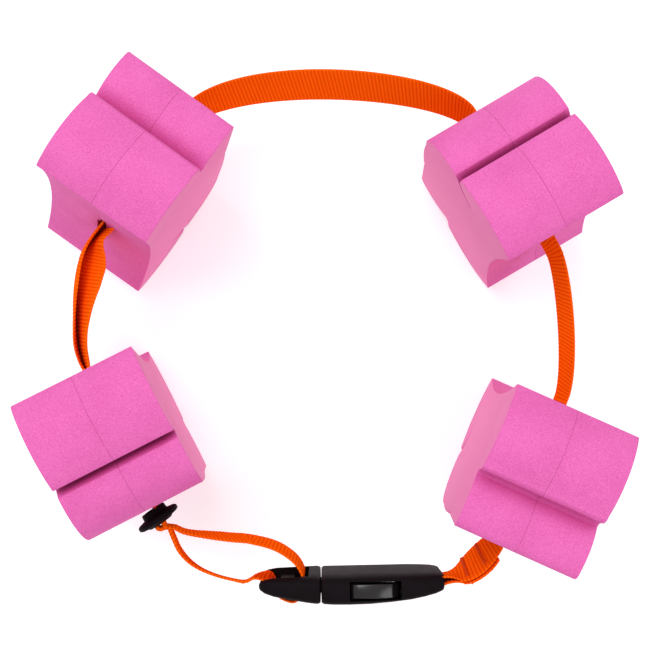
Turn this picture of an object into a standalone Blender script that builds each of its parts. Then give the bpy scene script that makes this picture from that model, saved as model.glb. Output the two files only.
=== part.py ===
"""Swimming flotation belt: four foam floats threaded on a webbing strap.

The belt stands on the floor as a closed ring, +Z up, in metres.  Each float is
two foam slabs laid face to face with the webbing running through a channel in
the joint between them.  A side-release buckle closes the ring, and a round
keeper gathers the adjuster loop beside the fourth float.
"""
import math

import bmesh
import bpy
from mathutils import Matrix, Vector

MM = 0.001
GAP = 0.3 * MM                    # clearance between touching pieces

# ---- driving dimensions -------------------------------------------------
SLAB = 30 * MM                    # thickness of one foam slab
FLOAT_LENGTH = 72 * MM            # float size along the webbing
WEB_WIDTH = 38 * MM
WEB_THICK = 1.6 * MM
WEB_LINE = -20 * MM               # height of the webbing's middle in a float's own frame
CHANNEL_HEIGHT = 40 * MM
CHANNEL_DEPTH = 3.1 * MM          # cut into each slab of a float
RUN_OUT = 2 * MM                  # straight webbing beyond each end of a float

KEEPER_STANDOFF = 2.6 * MM        # from the float's end to the keeper's hub
BUNCH_WIDTH = 9 * MM             # webbing gathered to pass the keeper
BUNCH_THICK = 2.4 * MM
BRANCH_OFFSET = 1.9 * MM          # each branch from the keeper's axis

BUCKLE_ORIGIN = Vector((-2, -130.6, 62)) * MM    # middle of the socket's mouth
BUCKLE_YAW = math.radians(1)
BUCKLE_TILT = math.radians(5.5)     # its upper edge leans toward the wearer

RING_CENTRE = Vector((-1.86, -5.32, 0)) * MM      # plan position that becomes the origin

# Where each float stands: plan position of its webbing-entry corner, heading,
# lean along the webbing, lean across it, and whether its slit side is up.
FLOATS = {
    1: ((-120.3, 41.3), 54.5, 15.2, 3.1, False),
    2: ((110.9, 41.6), -59.4, -6.0, 0.3, True),
    3: ((118.5, -39.9), -113.9, -0.6, 3.0, False),
    4: ((-117.5, -23.5), 116.9, 0.4, 5.8, True),
}

FOAM_PINK = (0.84, 0.15, 0.52, 1)
WEB_ORANGE = (1.0, 0.10, 0.01, 1)
THREAD_ORANGE = (0.9, 0.16, 0.03, 1)
PLASTIC_BLACK = (0.012, 0.011, 0.013, 1)


# ---- general helpers ----------------------------------------------------
def clear_scene():
    for obj in list(bpy.data.objects):
        bpy.data.objects.remove(obj, do_unlink=True)


def make_material(name, colour, roughness):
    material = bpy.data.materials.new(name)
    material.use_nodes = True
    shader = material.node_tree.nodes["Principled BSDF"]
    shader.inputs["Base Color"].default_value = colour
    shader.inputs["Roughness"].default_value = roughness
    shader.inputs["Metallic"].default_value = 0.0
    material.diffuse_color = colour
    return material


def finish_object(name, bm, material, matrix=None):
    bmesh.ops.remove_doubles(bm, verts=bm.verts, dist=1e-6)
    bmesh.ops.recalc_face_normals(bm, faces=bm.faces)
    mesh = bpy.data.meshes.new(name)
    bm.to_mesh(mesh)
    bm.free()
    mesh.shade_smooth()
    mesh.set_sharp_from_angle(angle=math.radians(35))
    obj = bpy.data.objects.new(name, mesh)
    bpy.context.scene.collection.objects.link(obj)
    mesh.materials.append(material)
    if matrix is not None:
        obj.matrix_world = matrix
    return obj


def add_box(bm, low, high):
    low, high = Vector(low), Vector(high)
    size = high - low
    matrix = Matrix.Translation((low + high) / 2) @ Matrix.Diagonal((*size, 1))
    bmesh.ops.create_cube(bm, size=1, matrix=matrix)


def box_cutter(name, low, high, matrix):
    bm = bmesh.new()
    add_box(bm, low, high)
    return mark_cutter(finish_object(name, bm, bpy.data.materials["plastic"], matrix))


def mark_cutter(obj):
    obj.hide_render = True
    obj.display_type = "WIRE"
    return obj


def cut(obj, cutter):
    modifier = obj.modifiers.new("cut_" + cutter.name, "BOOLEAN")
    modifier.operation = "DIFFERENCE"
    modifier.solver = "EXACT"
    modifier.object = cutter


def join_shape(obj, other):
    modifier = obj.modifiers.new("join_" + other.name, "BOOLEAN")
    modifier.operation = "UNION"
    modifier.solver = "EXACT"
    modifier.object = other


def bridge_rings(bm, rings, close_ends=True):
    """Skin a list of equal rings of points into one closed tube."""
    layers = [[bm.verts.new(point) for point in ring] for ring in rings]
    count = len(layers[0])
    for near, far in zip(layers, layers[1:]):
        for k in range(count):
            after = (k + 1) % count
            bm.faces.new((near[k], near[after], far[after], far[k]))
    if close_ends:
        bm.faces.new(reversed(layers[0]))
        bm.faces.new(layers[-1])


def arc(start, end, bulge, steps):
    """Points of a circular arc; a positive bulge lies to the right of travel."""
    start, end = Vector(start), Vector(end)
    chord = end - start
    along = chord.normalized()
    side = Vector((along.y, -along.x)) * (1 if bulge > 0 else -1)
    rise = abs(bulge)
    radius = (chord.length ** 2 / 4 + rise ** 2) / (2 * rise)
    centre = (start + end) / 2 + side * (rise - radius)
    half = 2 * math.atan(2 * rise / chord.length)
    points = []
    for k in range(steps + 1):
        angle = half * (2 * k / steps - 1)
        points.append(centre + radius * (along * math.sin(angle) + side * math.cos(angle)))
    return points


# ---- foam floats --------------------------------------------------------
def float_outline():
    """Cross-section of a float, counter-clockwise, in metres.

    First coordinate: along the webbing, 0 at the hollow end.  Second: height,
    positive on the slit side.
    """
    hollow_top, lip = (-1.6, 34), (-43, 34)
    slit_far, slit_near = (-32, 19.6), (-32.3, 18.7)
    small_lobe, side, notch = (-47, 30.5), (-71.6, 3), (-71.2, -34)
    wall_foot, toe, valley = (-71.3, -70), (-66.5, -76), (-45.5, -70.5)
    crest, hollow_foot = (-38.5, -82), (-2, -76.2)
    points = arc(hollow_top, lip, 7, 10)
    points += arc((-43.2, 28.5), slit_far, 1.4, 4)
    points += arc(slit_near, (-44.6, 27.6), -1.4, 4)
    points += arc(small_lobe, side, 8.5, 9)
    points += arc(side, notch, 1.2, 4)[1:]
    points += [Vector((-69.6, -35.4)), Vector((-71, -38.2))]
    points += arc(wall_foot, toe, 1.9, 4)
    points += arc(toe, valley, 3.0, 5)[1:]
    points += arc((-44, -71.5), (-42.6, -78.5), -0.4, 3)
    points += arc((-42, -80), crest, 0.7, 2)
    points += arc(crest, hollow_foot, 6.4, 10)[1:]
    points += arc((-0.4, -74.6), (-0.6, 31.6), -7, 10)
    points += [Vector((-0.2, 32.8))]
    return [point * MM for point in points]


def float_rotation(number):
    _, heading, lean, tip, slit_up = FLOATS[number]
    turn = (Matrix.Rotation(math.radians(heading), 4, "Z")
            @ Matrix.Rotation(math.radians(tip), 4, "X")
            @ Matrix.Rotation(math.radians(lean), 4, "Y"))
    return turn if slit_up else turn @ Matrix.Rotation(math.pi, 4, "Y")


def float_matrix(number):
    """Frame of a float whose lowest edge stands on the floor."""
    turn = float_rotation(number)
    lowest = min((turn @ Vector((point.x, side, point.y))).z
                 for point in float_outline() for side in (-SLAB, SLAB))
    east, north = FLOATS[number][0]
    place = Vector((east * MM, north * MM, -lowest)) - RING_CENTRE
    return Matrix.Translation(place) @ turn


def build_slab(name, inner, outer, matrix, foam):
    bm = bmesh.new()
    ring = [bm.verts.new((point.x, inner, point.y)) for point in float_outline()]
    face = bm.faces.new(ring)
    grown = bmesh.ops.extrude_face_region(bm, geom=[face])["geom"]
    verts = [item for item in grown if isinstance(item, bmesh.types.BMVert)]
    bmesh.ops.translate(bm, verts=verts, vec=(0, outer - inner, 0))
    return finish_object(name, bm, foam, matrix)


def build_float(number, foam):
    matrix = float_matrix(number)
    half_gap = GAP / 2
    outer = build_slab(f"float_{number}_outer_slab", half_gap, SLAB, matrix, foam)
    inner = build_slab(f"float_{number}_inner_slab", -SLAB, -half_gap, matrix, foam)
    channel = box_cutter(f"channel_{number}",
                         (-FLOAT_LENGTH * 1.2, -CHANNEL_DEPTH, WEB_LINE - CHANNEL_HEIGHT / 2),
                         (FLOAT_LENGTH * 0.2, CHANNEL_DEPTH, WEB_LINE + CHANNEL_HEIGHT / 2),
                         matrix)
    cut(outer, channel)
    cut(inner, channel)


# ---- webbing ------------------------------------------------------------
class Station:
    """One place along a strap: position, upward edge direction and section."""

    def __init__(self, place, up, width=WEB_WIDTH, thick=WEB_THICK):
        self.place = Vector(place)
        self.up = Vector(up).normalized()
        self.width = width
        self.thick = thick


def station_in_float(number, along, across=0.0, width=WEB_WIDTH, thick=WEB_THICK):
    matrix = float_matrix(number)
    up_sign = 1 if FLOATS[number][4] else -1
    up = matrix.to_3x3() @ Vector((0, 0, up_sign))
    return Station(matrix @ Vector((along, across, WEB_LINE)), up, width, thick)


def heading_in_float(number, toward_hollow_end):
    direction = float_matrix(number).to_3x3() @ Vector((1, 0, 0))
    return direction if toward_hollow_end else -direction


def free_span(first, first_heading, last, last_heading, slacks, lean, steps):
    """Stations strictly between two others, on a Hermite curve.

    slacks scale the two end tangents by the chord; lean tips the upper edge
    outward, by that angle in the middle of the span.
    """
    chord = (last.place - first.place).length
    leave = first_heading.normalized() * chord * slacks[0]
    arrive = last_heading.normalized() * chord * slacks[1]
    stations = []
    for k in range(1, steps):
        t = k / steps
        place = (first.place * (2 * t ** 3 - 3 * t ** 2 + 1) + leave * (t ** 3 - 2 * t ** 2 + t)
                 + last.place * (3 * t ** 2 - 2 * t ** 3) + arrive * (t ** 3 - t ** 2))
        up = first.up.lerp(last.up, t).normalized()
        outward = Vector((place.x, place.y, 0)).normalized()
        up += outward * math.tan(lean) * math.sin(math.pi * t)
        stations.append(Station(place, up))
    return stations


def ribbon_section(station, tangent):
    """Eight points round a flat strap with eased corners."""
    across = tangent.cross(station.up).normalized()
    up = across.cross(tangent).normalized()
    half_up, half_across = station.width / 2, station.thick / 2
    ease = 0.35 * half_across
    corners = [(-1, -1, 0, 1), (-1, -1, 1, 0), (1, -1, 1, 0), (1, -1, 0, 1),
               (1, 1, 0, 1), (1, 1, 1, 0), (-1, 1, 1, 0), (-1, 1, 0, 1)]
    return [station.place + up * (a * (half_up - c * ease)) + across * (b * (half_across - d * ease))
            for a, b, c, d in corners]


def build_ribbon(name, stations, material):
    rings = []
    last = len(stations) - 1
    for k, station in enumerate(stations):
        before, after = stations[max(k - 1, 0)], stations[min(k + 1, last)]
        rings.append(ribbon_section(station, (after.place - before.place).normalized()))
    bm = bmesh.new()
    bridge_rings(bm, rings)
    return finish_object(name, bm, material)


def smooth_route(points, steps):
    """Catmull-Rom curve through hand-placed points, as (point, fraction)."""
    points = [Vector(point) for point in points]
    padded = [2 * points[0] - points[1]] + points + [2 * points[-1] - points[-2]]
    route = []
    for k in range(len(points) - 1):
        p0, p1, p2, p3 = padded[k:k + 4]
        for j in range(steps):
            t = j / steps
            place = 0.5 * ((2 * p1) + (p2 - p0) * t + (2 * p0 - 5 * p1 + 4 * p2 - p3) * t ** 2
                           + (3 * p1 - p0 - 3 * p2 + p3) * t ** 3)
            route.append((place, (k + t) / (len(points) - 1)))
    route.append((points[-1], 1.0))
    return route


# ---- buckle frame -------------------------------------------------------
SOCKET_BAR = (48.0 * MM, 50.2 * MM)       # from, to along the buckle
BAR_HALF = 1.2 * MM                       # half thickness of the bar
WEB_MOUTH = [(44.6, 4.2), (53, 4.2), (61, 3.1), (66, 3.1)]    # along, half thickness; millimetres
SLOT_NEAR = (-13.5 * MM, -6 * MM)
SLOT_FAR = (-27.5 * MM, -20.5 * MM)
SLOT_HALF_HEIGHT = 19.6 * MM
PLUG_BAR_HALF = 1.6 * MM
BARS_MIDDLE = -20 * MM
CAVITY_HALF = (3.9 * MM, 22 * MM)         # half thickness, half height
CAVITY_DEPTH = 42 * MM
WINDOW = (14 * MM, 39 * MM)
ARM_HALF_THICK = 3.4 * MM
ARM_PIVOT = (2.6 * MM, 11.5 * MM)         # along the buckle, up from its middle
ARM_ROOT_RADIUS = 2.5 * MM


def buckle_matrix():
    return (Matrix.Translation(BUCKLE_ORIGIN - RING_CENTRE)
            @ Matrix.Rotation(BUCKLE_YAW, 4, "Z") @ Matrix.Rotation(-BUCKLE_TILT, 4, "X"))


def buckle_bow(along):
    """Sideways curve of the buckle's shell, which follows the waist."""
    middle, curvature = 15 * MM, 1.3
    return curvature * (along - middle) ** 2


def shell_ring(along, half_thick, half_high, count=32, power=0.42):
    """Rounded-rectangle ring across the buckle."""
    points = []
    for k in range(count):
        angle = 2 * math.pi * (k + 0.5) / count
        c, s = math.cos(angle), math.sin(angle)
        y = half_thick * math.copysign(abs(c) ** power, c)
        z = half_high * math.copysign(abs(s) ** power, s)
        points.append(Vector((along, y + buckle_bow(along), z)))
    return points


def build_socket(plastic):
    matrix = buckle_matrix()
    profile = [(0.3, 6.5, 24.6), (1.4, 7.2, 25.6), (6, 7.4, 26), (14, 7.4, 26.2), (24, 7.3, 26),
               (34, 7.0, 25.4), (44, 6.6, 24.6), (51, 5.9, 23.6), (56, 5.2, 22.4), (58.6, 4.6, 21),
               (59.6, 4.2, 20.3), (60.2, 3.9, 19.9)]
    bm = bmesh.new()
    bridge_rings(bm, [shell_ring(x * MM, y * MM, z * MM) for x, y, z in profile])
    socket = finish_object("buckle_socket", bm, plastic, matrix)
    half_thick, half_high = CAVITY_HALF
    cut(socket, box_cutter("socket_cavity", (-5 * MM, -half_thick, -half_high),
                           (CAVITY_DEPTH, half_thick, half_high), matrix))
    window_half = 4.6 * MM
    cut(socket, box_cutter("socket_windows", (WINDOW[0], -window_half, -40 * MM),
                           (WINDOW[1], window_half, 40 * MM), matrix))
    rings = []
    for along, half in WEB_MOUTH:
        middle = buckle_bow(along * MM)
        rings.append([Vector((along * MM, middle + side * half * MM, top * SLOT_HALF_HEIGHT))
                      for side, top in ((-1, -1), (1, -1), (1, 1), (-1, 1))])
    bm = bmesh.new()
    bridge_rings(bm, rings)
    cut(socket, mark_cutter(finish_object("socket_web_mouth", bm, plastic, matrix)))
    middle = buckle_bow(SOCKET_BAR[1])
    reach = SLOT_HALF_HEIGHT + 1.5 * MM
    join_shape(socket, box_cutter("socket_bar", (SOCKET_BAR[0], middle - BAR_HALF, -reach),
                                  (SOCKET_BAR[1], middle + BAR_HALF, reach), matrix))
    return socket


def build_plug(plastic):
    matrix = buckle_matrix()
    profile = [(-30.2, 1.9, 18.5), (-29.4, 2.8, 20.4), (-27.4, 3.9, 22.3), (-23, 5.0, 23.6),
               (-14, 6.0, 24.6), (-7, 6.8, 25.2), (-2, 7.2, 25.6), (-0.7, 6.9, 25.2), (-0.2, 6.4, 24.6)]
    bm = bmesh.new()
    bridge_rings(bm, [shell_ring(x * MM, y * MM, z * MM) for x, y, z in profile])
    plug = finish_object("buckle_plug", bm, plastic, matrix)
    for label, (start, stop) in (("near", SLOT_NEAR), ("far", SLOT_FAR)):
        cut(plug, box_cutter(f"plug_slot_{label}", (start, -20 * MM, -SLOT_HALF_HEIGHT),
                             (stop, 20 * MM, SLOT_HALF_HEIGHT), matrix))
    for side in (-1, 1):
        low = PLUG_BAR_HALF if side > 0 else -20 * MM
        high = 20 * MM if side > 0 else -PLUG_BAR_HALF
        shift = buckle_bow(BARS_MIDDLE)
        cut(plug, box_cutter(f"plug_bar_relief_{side}", (-40 * MM, low + shift, -SLOT_HALF_HEIGHT),
                             (SLOT_NEAR[0] + 1 * MM, high + shift, SLOT_HALF_HEIGHT), matrix))
    bm = bmesh.new()
    tongue = [(-3, 3.2, 5.2), (30, 3.2, 4.2), (38, 2.6, 3.4), (41, 1.8, 2.4)]
    bridge_rings(bm, [[Vector((x, y * a, z * b)) * MM for a, b in
                       ((-1, -1), (1, -1), (1, 1), (-1, 1))] for x, y, z in tongue])
    join_shape(plug, mark_cutter(finish_object("plug_tongue", bm, plastic, matrix)))
    return plug


def arm_outline():
    """Plan of a release arm above its root pivot: along, up; millimetres."""
    x, z = ARM_PIVOT[0] / MM, ARM_PIVOT[1] / MM
    radius = ARM_ROOT_RADIUS / MM
    root = []
    for k in range(9):
        angle = math.radians(70 + 200 * k / 8)
        root.append(Vector((x + radius * math.cos(angle), z + radius * math.sin(angle))))
    inner = [Vector((12, 10.6)), Vector((26, 13.8)), Vector((36, 15.6))]
    tip = arc((37.6, 17), (36.2, 22.4), 1.4, 4)
    pad = arc((34.5, 24.6), (16, 24.9), 1.1, 6)
    shoulder = [Vector((14.6, 23.8)), Vector((14.6, 19.6)), Vector((12, 17.4))]
    return root + inner + tip + pad + shoulder


def build_arm(name, side, plastic):
    pivot = Vector((ARM_PIVOT[0], 0, side * ARM_PIVOT[1]))
    matrix = buckle_matrix() @ Matrix.Translation(pivot)
    bm = bmesh.new()
    rings = []
    for depth in (-ARM_HALF_THICK, ARM_HALF_THICK):
        rings.append([Vector((point.x * MM - pivot.x, depth, side * point.y * MM - pivot.z))
                      for point in arm_outline()])
    bridge_rings(bm, rings)
    return finish_object(name, bm, plastic, matrix)


# ---- keeper -------------------------------------------------------------
KEEPER_LENGTH = 9.4 * MM
KEEPER_BACK = -FLOAT_LENGTH - KEEPER_STANDOFF      # hub face, in float 4's frame
KEEPER_FRONT = KEEPER_BACK - KEEPER_LENGTH
WEB_JOIN = KEEPER_BACK - 4.8 * MM                  # where belt and adjuster loop meet


def build_keeper(plastic):
    """Round disc with a hub each side and two slots for the gathered webbing."""
    matrix = float_matrix(4) @ Matrix.Translation((KEEPER_BACK, 0, WEB_LINE))
    turned = [(0, 5.9), (0.4, 6.4), (2.8, 6.6), (3.1, 7.6), (3.6, 9.9), (4.1, 10.8), (4.6, 11.1),
              (5.7, 11.1), (6.2, 10.8), (6.7, 9.9), (7.2, 7.8), (7.6, 6.9), (9.0, 6.5), (9.4, 6.0)]
    sides = 36
    rings = []
    for depth, radius in turned:
        ring = []
        for k in range(sides):
            angle = 2 * math.pi * k / sides
            ring.append(Vector((-depth, radius * math.cos(angle), radius * math.sin(angle))) * MM)
        rings.append(ring)
    bm = bmesh.new()
    bridge_rings(bm, rings)
    keeper = finish_object("keeper_disc", bm, plastic, matrix)
    half_high = BUNCH_WIDTH / 2 + GAP
    half_thick = BUNCH_THICK / 2 + GAP
    for label, middle in (("belt", -BRANCH_OFFSET), ("tail", BRANCH_OFFSET)):
        cut(keeper, box_cutter(f"keeper_slot_{label}",
                               (-2 * KEEPER_LENGTH, middle - half_thick, -half_high),
                               (KEEPER_LENGTH, middle + half_thick, half_high), matrix))


# ---- straps -------------------------------------------------------------
LAP_PITCH = WEB_THICK + GAP                # between the two layers of the sewn lap
FOLD_RADIUS = 2.5 * MM                     # webbing's middle line round the socket's bar
FOLD_CENTRE = 48.6 * MM
LAP_START = (68.5 * MM, 3.5 * MM)          # in the buckle's frame
LAP_HEADING = math.radians(8)
LAP_SHARE = 0.72                           # of the span from buckle to float 3
TACKS = (0.25, 0.56)                       # stitched tacks, as shares of that span


def lap_span(steps=16):
    """Middle line of the webbing from the sewn lap to float 3."""
    matrix = buckle_matrix()
    heading = matrix.to_3x3() @ Vector((math.cos(LAP_HEADING), math.sin(LAP_HEADING), 0))
    first = Station(matrix @ Vector((*LAP_START, 0)), matrix.to_3x3() @ Vector((0, 0, 1)))
    last = station_in_float(3, -FLOAT_LENGTH - RUN_OUT)
    span = free_span(first, heading, last, heading_in_float(3, True), (0.55, 0.55),
                     math.radians(9), steps)
    return [first] + span + [last]


def shifted(stations, index, offset):
    """A station moved sideways, toward the wearer when offset is positive."""
    station = stations[index]
    before, after = stations[max(index - 1, 0)], stations[min(index + 1, len(stations) - 1)]
    tangent = (after.place - before.place).normalized()
    side = station.up.cross(tangent).normalized()
    return Station(station.place + side * offset, station.up, station.width, station.thick)


def sewn_end():
    """Lap, fold round the socket's bar, and the run up to float 3."""
    span = lap_span()
    last_lapped = round(LAP_SHARE * (len(span) - 1))
    stations = [shifted(span, k, -LAP_PITCH / 2) for k in range(last_lapped, -1, -1)]
    matrix = buckle_matrix()
    bow = buckle_bow(SOCKET_BAR[0])
    turns = 12
    for k in range(turns + 1):
        angle = math.pi * (1.5 - k / turns)
        place = Vector((FOLD_CENTRE + FOLD_RADIUS * math.cos(angle),
                        bow + FOLD_RADIUS * math.sin(angle), 0))
        stations.append(Station(matrix @ place, span[0].up))
    for k in range(len(span)):
        past_lap = max(0, k - last_lapped) / (len(span) - 1 - last_lapped)
        stations.append(shifted(span, k, LAP_PITCH / 2 * (1 - past_lap)))
    return stations


def run_through(number, to_hollow_end, steps=4):
    """Straight webbing inside a float and just beyond both its ends."""
    ends = (-FLOAT_LENGTH - RUN_OUT, RUN_OUT)
    first, last = ends if to_hollow_end else ends[::-1]
    return [station_in_float(number, first + (last - first) * k / steps)
            for k in range(steps + 1)]


def span_between(first_float, first_hollow, last_float, last_hollow, slacks, lean, steps):
    """Free webbing from one float's end to another's."""
    first = station_in_float(first_float, RUN_OUT if first_hollow else -FLOAT_LENGTH - RUN_OUT)
    last = station_in_float(last_float, RUN_OUT if last_hollow else -FLOAT_LENGTH - RUN_OUT)
    return free_span(first, heading_in_float(first_float, first_hollow),
                     last, heading_in_float(last_float, not last_hollow),
                     slacks, math.radians(lean), steps)


def gathered_exit():
    """Webbing drawn narrow inside float 4 and led into the keeper."""
    stations = [station_in_float(4, RUN_OUT), station_in_float(4, -34 * MM)]
    steps = 8
    for k in range(1, steps + 1):
        share = k / steps
        along = -34 * MM + share * (KEEPER_BACK + KEEPER_STANDOFF + 34 * MM)
        ease = share * share * (3 - 2 * share)
        stations.append(station_in_float(4, along, 0.0,
                                         WEB_WIDTH + (BUNCH_WIDTH - WEB_WIDTH) * ease,
                                         WEB_THICK + (BUNCH_THICK - WEB_THICK) * ease))
    for along, across in ((KEEPER_BACK + 1.6 * MM, -0.5), (KEEPER_BACK, -1.0), (WEB_JOIN, -1.0)):
        stations.append(station_in_float(4, along, across * BRANCH_OFFSET,
                                         BUNCH_WIDTH, BUNCH_THICK))
    return stations


def build_main_webbing(webbing):
    stations = sewn_end()
    stations += run_through(3, True)[1:]
    stations += span_between(3, True, 2, True, (0.62, 0.45), 2, 16)
    stations += run_through(2, False)
    stations += span_between(2, False, 1, False, (0.5, 0.82), 3, 30)
    stations += run_through(1, True)
    stations += span_between(1, True, 4, True, (0.58, 0.55), 0, 14)
    stations += gathered_exit()
    build_ribbon("webbing_main", stations, webbing)


LOWER_BRANCH = 66 * MM                     # run from the plug's end back to the keeper
LOWER_LEAN = math.radians(11)              # its upper edge leans inward midway


def build_adjuster_loop(webbing):
    """Webbing from the keeper through the plug's bars and back to the keeper."""
    upper = [(-72.0, 31.6), (-67, 29.2), (-57, 27.0), (-46.8, 25.2), (-34.3, 23.2), (-22.5, 19.8),
             (-13.4, 13.8), (-9.2, 7.4), (-9.3, 2.0)]
    weave = [(-10.2, -4.0), (-12.6, -7.0), (-16.5, -6.6), (-20.8, -4.3), (-23.2, -1.2), (-24.6, 1.0),
             (-26.0, 2.7), (-29, 3.5), (-33, 3.2)]           # across, from the bars' middle
    lower = [(-38, 2.6), (-45, 4.0), (-53, 6.8), (-60, 10.4), (-66.0, 15.0), (-70.3, 20.4),
             (-73.0, 26.6), (-74.9, 31.6)]
    matrix = buckle_matrix()
    bow = Vector((0, buckle_bow(BARS_MIDDLE), 0))
    flat = [Vector((x, y, 0)) * MM for x, y in upper]
    flat += [Vector((x, y, 0)) * MM + bow for x, y in weave]
    flat += [Vector((x, y, 0)) * MM for x, y in lower]
    out = matrix.inverted() @ station_in_float(4, KEEPER_FRONT).place
    rise_from = -36 * MM                    # level beside the plug, then up to the keeper
    route = []
    for place, share in smooth_route(flat, 5):
        rise = out.z * min(1, max(0, (place.x - rise_from) / (out.x - rise_from)))
        inward = place.y - rise * math.tan(BUCKLE_TILT)
        route.append(matrix @ Vector((place.x, inward, rise)))
    lead = [station_in_float(4, along, -BRANCH_OFFSET).place
            for along in (WEB_JOIN - GAP, KEEPER_FRONT - 1.0 * MM)]
    tail = [station_in_float(4, along, BRANCH_OFFSET).place
            for along in (KEEPER_FRONT - 1.0 * MM, WEB_JOIN)]
    places = lead + route + tail
    travel = [0.0]
    for before, after in zip(places, places[1:]):
        travel.append(travel[-1] + (after - before).length)
    spread_from, spread_over = 8 * MM, 34 * MM
    keeper_up = station_in_float(4, KEEPER_FRONT).up
    buckle_up = matrix.to_3x3() @ Vector((0, 0, 1))
    stations = []
    for place, gone in zip(places, travel):
        from_keeper = min(gone, travel[-1] - gone)
        inward = -Vector((place.x, place.y, 0)).normalized()
        turned = math.sin(math.pi * min(1, (travel[-1] - gone) / LOWER_BRANCH))
        free_up = buckle_up + inward * math.tan(LOWER_LEAN) * turned
        share = min(1, max(0, (from_keeper - spread_from) / spread_over))
        ease = share * share * (3 - 2 * share)
        stations.append(Station(place, keeper_up.lerp(free_up, ease),
                                BUNCH_WIDTH + (WEB_WIDTH - BUNCH_WIDTH) * ease,
                                BUNCH_THICK + (WEB_THICK - BUNCH_THICK) * ease))
    build_ribbon("webbing_adjuster_loop", stations, webbing)


def build_stitching(thread):
    """Tacks of thread across both faces of the sewn lap."""
    span = lap_span()
    tack_width, tack_length, tack_thick = 31 * MM, 1.8 * MM, 0.5 * MM
    clearance = 1.6 * GAP                   # the lap curves under a straight tack
    offset = LAP_PITCH / 2 + WEB_THICK / 2 + clearance + tack_thick / 2
    for number, share in enumerate(TACKS, 1):
        index = round(share * (len(span) - 1))
        tangent = (span[index + 1].place - span[index - 1].place).normalized()
        for face, side in (("outer", -1), ("inner", 1)):
            middle = shifted(span, index, side * offset)
            reach = tangent * tack_length / 2
            ends = [Station(middle.place + reach * end, middle.up, tack_width, tack_thick)
                    for end in (-1, 1)]
            build_ribbon(f"lap_tack_{number}_{face}", ends, thread)


def build_all():
    clear_scene()
    foam = make_material("foam", FOAM_PINK, 0.75)
    plastic = make_material("plastic", PLASTIC_BLACK, 0.25)
    webbing = make_material("webbing", WEB_ORANGE, 0.6)
    thread = make_material("thread", THREAD_ORANGE, 0.6)
    for number in FLOATS:
        build_float(number, foam)
    build_main_webbing(webbing)
    build_adjuster_loop(webbing)
    build_stitching(thread)
    build_keeper(plastic)
    build_socket(plastic)
    build_plug(plastic)
    build_arm("release_arm_upper", 1, plastic)
    build_arm("release_arm_lower", -1, plastic)


build_all()
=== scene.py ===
"""Looks of the swimming flotation belt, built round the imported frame.

Foam floats with soft edges and a closed-cell grain, ribbed webbing, and a
moulded buckle and keeper.  Units are metres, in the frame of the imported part.
"""
import math

import bmesh
import bpy
import numpy as np
from mathutils import Matrix, Vector


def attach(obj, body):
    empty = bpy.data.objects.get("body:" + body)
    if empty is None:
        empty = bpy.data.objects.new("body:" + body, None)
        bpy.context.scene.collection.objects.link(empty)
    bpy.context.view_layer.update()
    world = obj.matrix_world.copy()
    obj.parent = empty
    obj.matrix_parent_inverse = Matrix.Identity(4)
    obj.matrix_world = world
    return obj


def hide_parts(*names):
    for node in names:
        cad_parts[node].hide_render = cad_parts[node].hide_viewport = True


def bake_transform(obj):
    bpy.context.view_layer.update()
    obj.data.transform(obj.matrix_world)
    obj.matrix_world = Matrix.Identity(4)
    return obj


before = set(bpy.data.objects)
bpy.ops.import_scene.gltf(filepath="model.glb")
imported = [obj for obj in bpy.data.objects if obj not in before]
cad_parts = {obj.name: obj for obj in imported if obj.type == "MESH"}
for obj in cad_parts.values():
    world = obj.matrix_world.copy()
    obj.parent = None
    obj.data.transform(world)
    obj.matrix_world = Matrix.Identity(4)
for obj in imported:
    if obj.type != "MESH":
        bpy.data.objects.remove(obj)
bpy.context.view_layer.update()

MM = 0.001

# ---- driving dimensions, as in the frame --------------------------------
GAP = 0.3 * MM
SLAB = 30 * MM
FLOAT_LENGTH = 72 * MM
WEB_WIDTH = 38 * MM
WEB_THICK = 1.6 * MM
WEB_LINE = -20 * MM               # height of the webbing in a float's own frame
RUN_OUT = 2 * MM                  # straight webbing past each end of a float
RING_CENTRE = Vector((-1.86, -5.32, 0)) * MM

# plan position of each float's webbing-entry corner, heading, lean along the
# webbing, lean across it, and whether its slit side is up
FLOATS = {
    1: ((-120.3, 41.3), 54.5, 15.2, 3.1, False),
    2: ((110.9, 41.6), -59.4, -6.0, 0.3, True),
    3: ((118.5, -39.9), -113.9, -0.6, 3.0, False),
    4: ((-117.5, -23.5), 116.9, 0.4, 5.8, True),
}

# keeper, along float 4's webbing
KEEPER_STANDOFF = 2.6 * MM
KEEPER_LENGTH = 9.4 * MM
KEEPER_BACK = -FLOAT_LENGTH - KEEPER_STANDOFF
KEEPER_FRONT = KEEPER_BACK - KEEPER_LENGTH
WEB_JOIN = KEEPER_BACK - 4.8 * MM     # where belt and adjuster loop meet
GATHER_FROM = -34 * MM            # inside float 4, where the webbing starts to narrow
BUNCH_WIDTH = 9 * MM              # webbing gathered to pass the keeper
BUNCH_THICK = 1.5 * MM
BRANCH_OFFSET = 1.9 * MM          # each branch from the keeper's axis

# buckle
BUCKLE_ORIGIN = Vector((-2, -130.6, 62)) * MM
BUCKLE_YAW = math.radians(1)
BUCKLE_TILT = math.radians(5.5)
BARS_MIDDLE = -20 * MM            # the plug's two bars
SOCKET_BAR_START = 48 * MM
TURN_RADIUS = 2.5 * MM            # webbing's middle line round the socket's bar
TURN_CENTRE = 48.6 * MM
LAP_PITCH = WEB_THICK + GAP       # between the two layers of the sewn lap
LAP_START = (68.5 * MM, 3.5 * MM)     # in the buckle's frame
LAP_HEADING = math.radians(8)
LAP_LEAN = math.radians(9)
LAP_SHARE = 0.72                  # of the way to float 3

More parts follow.
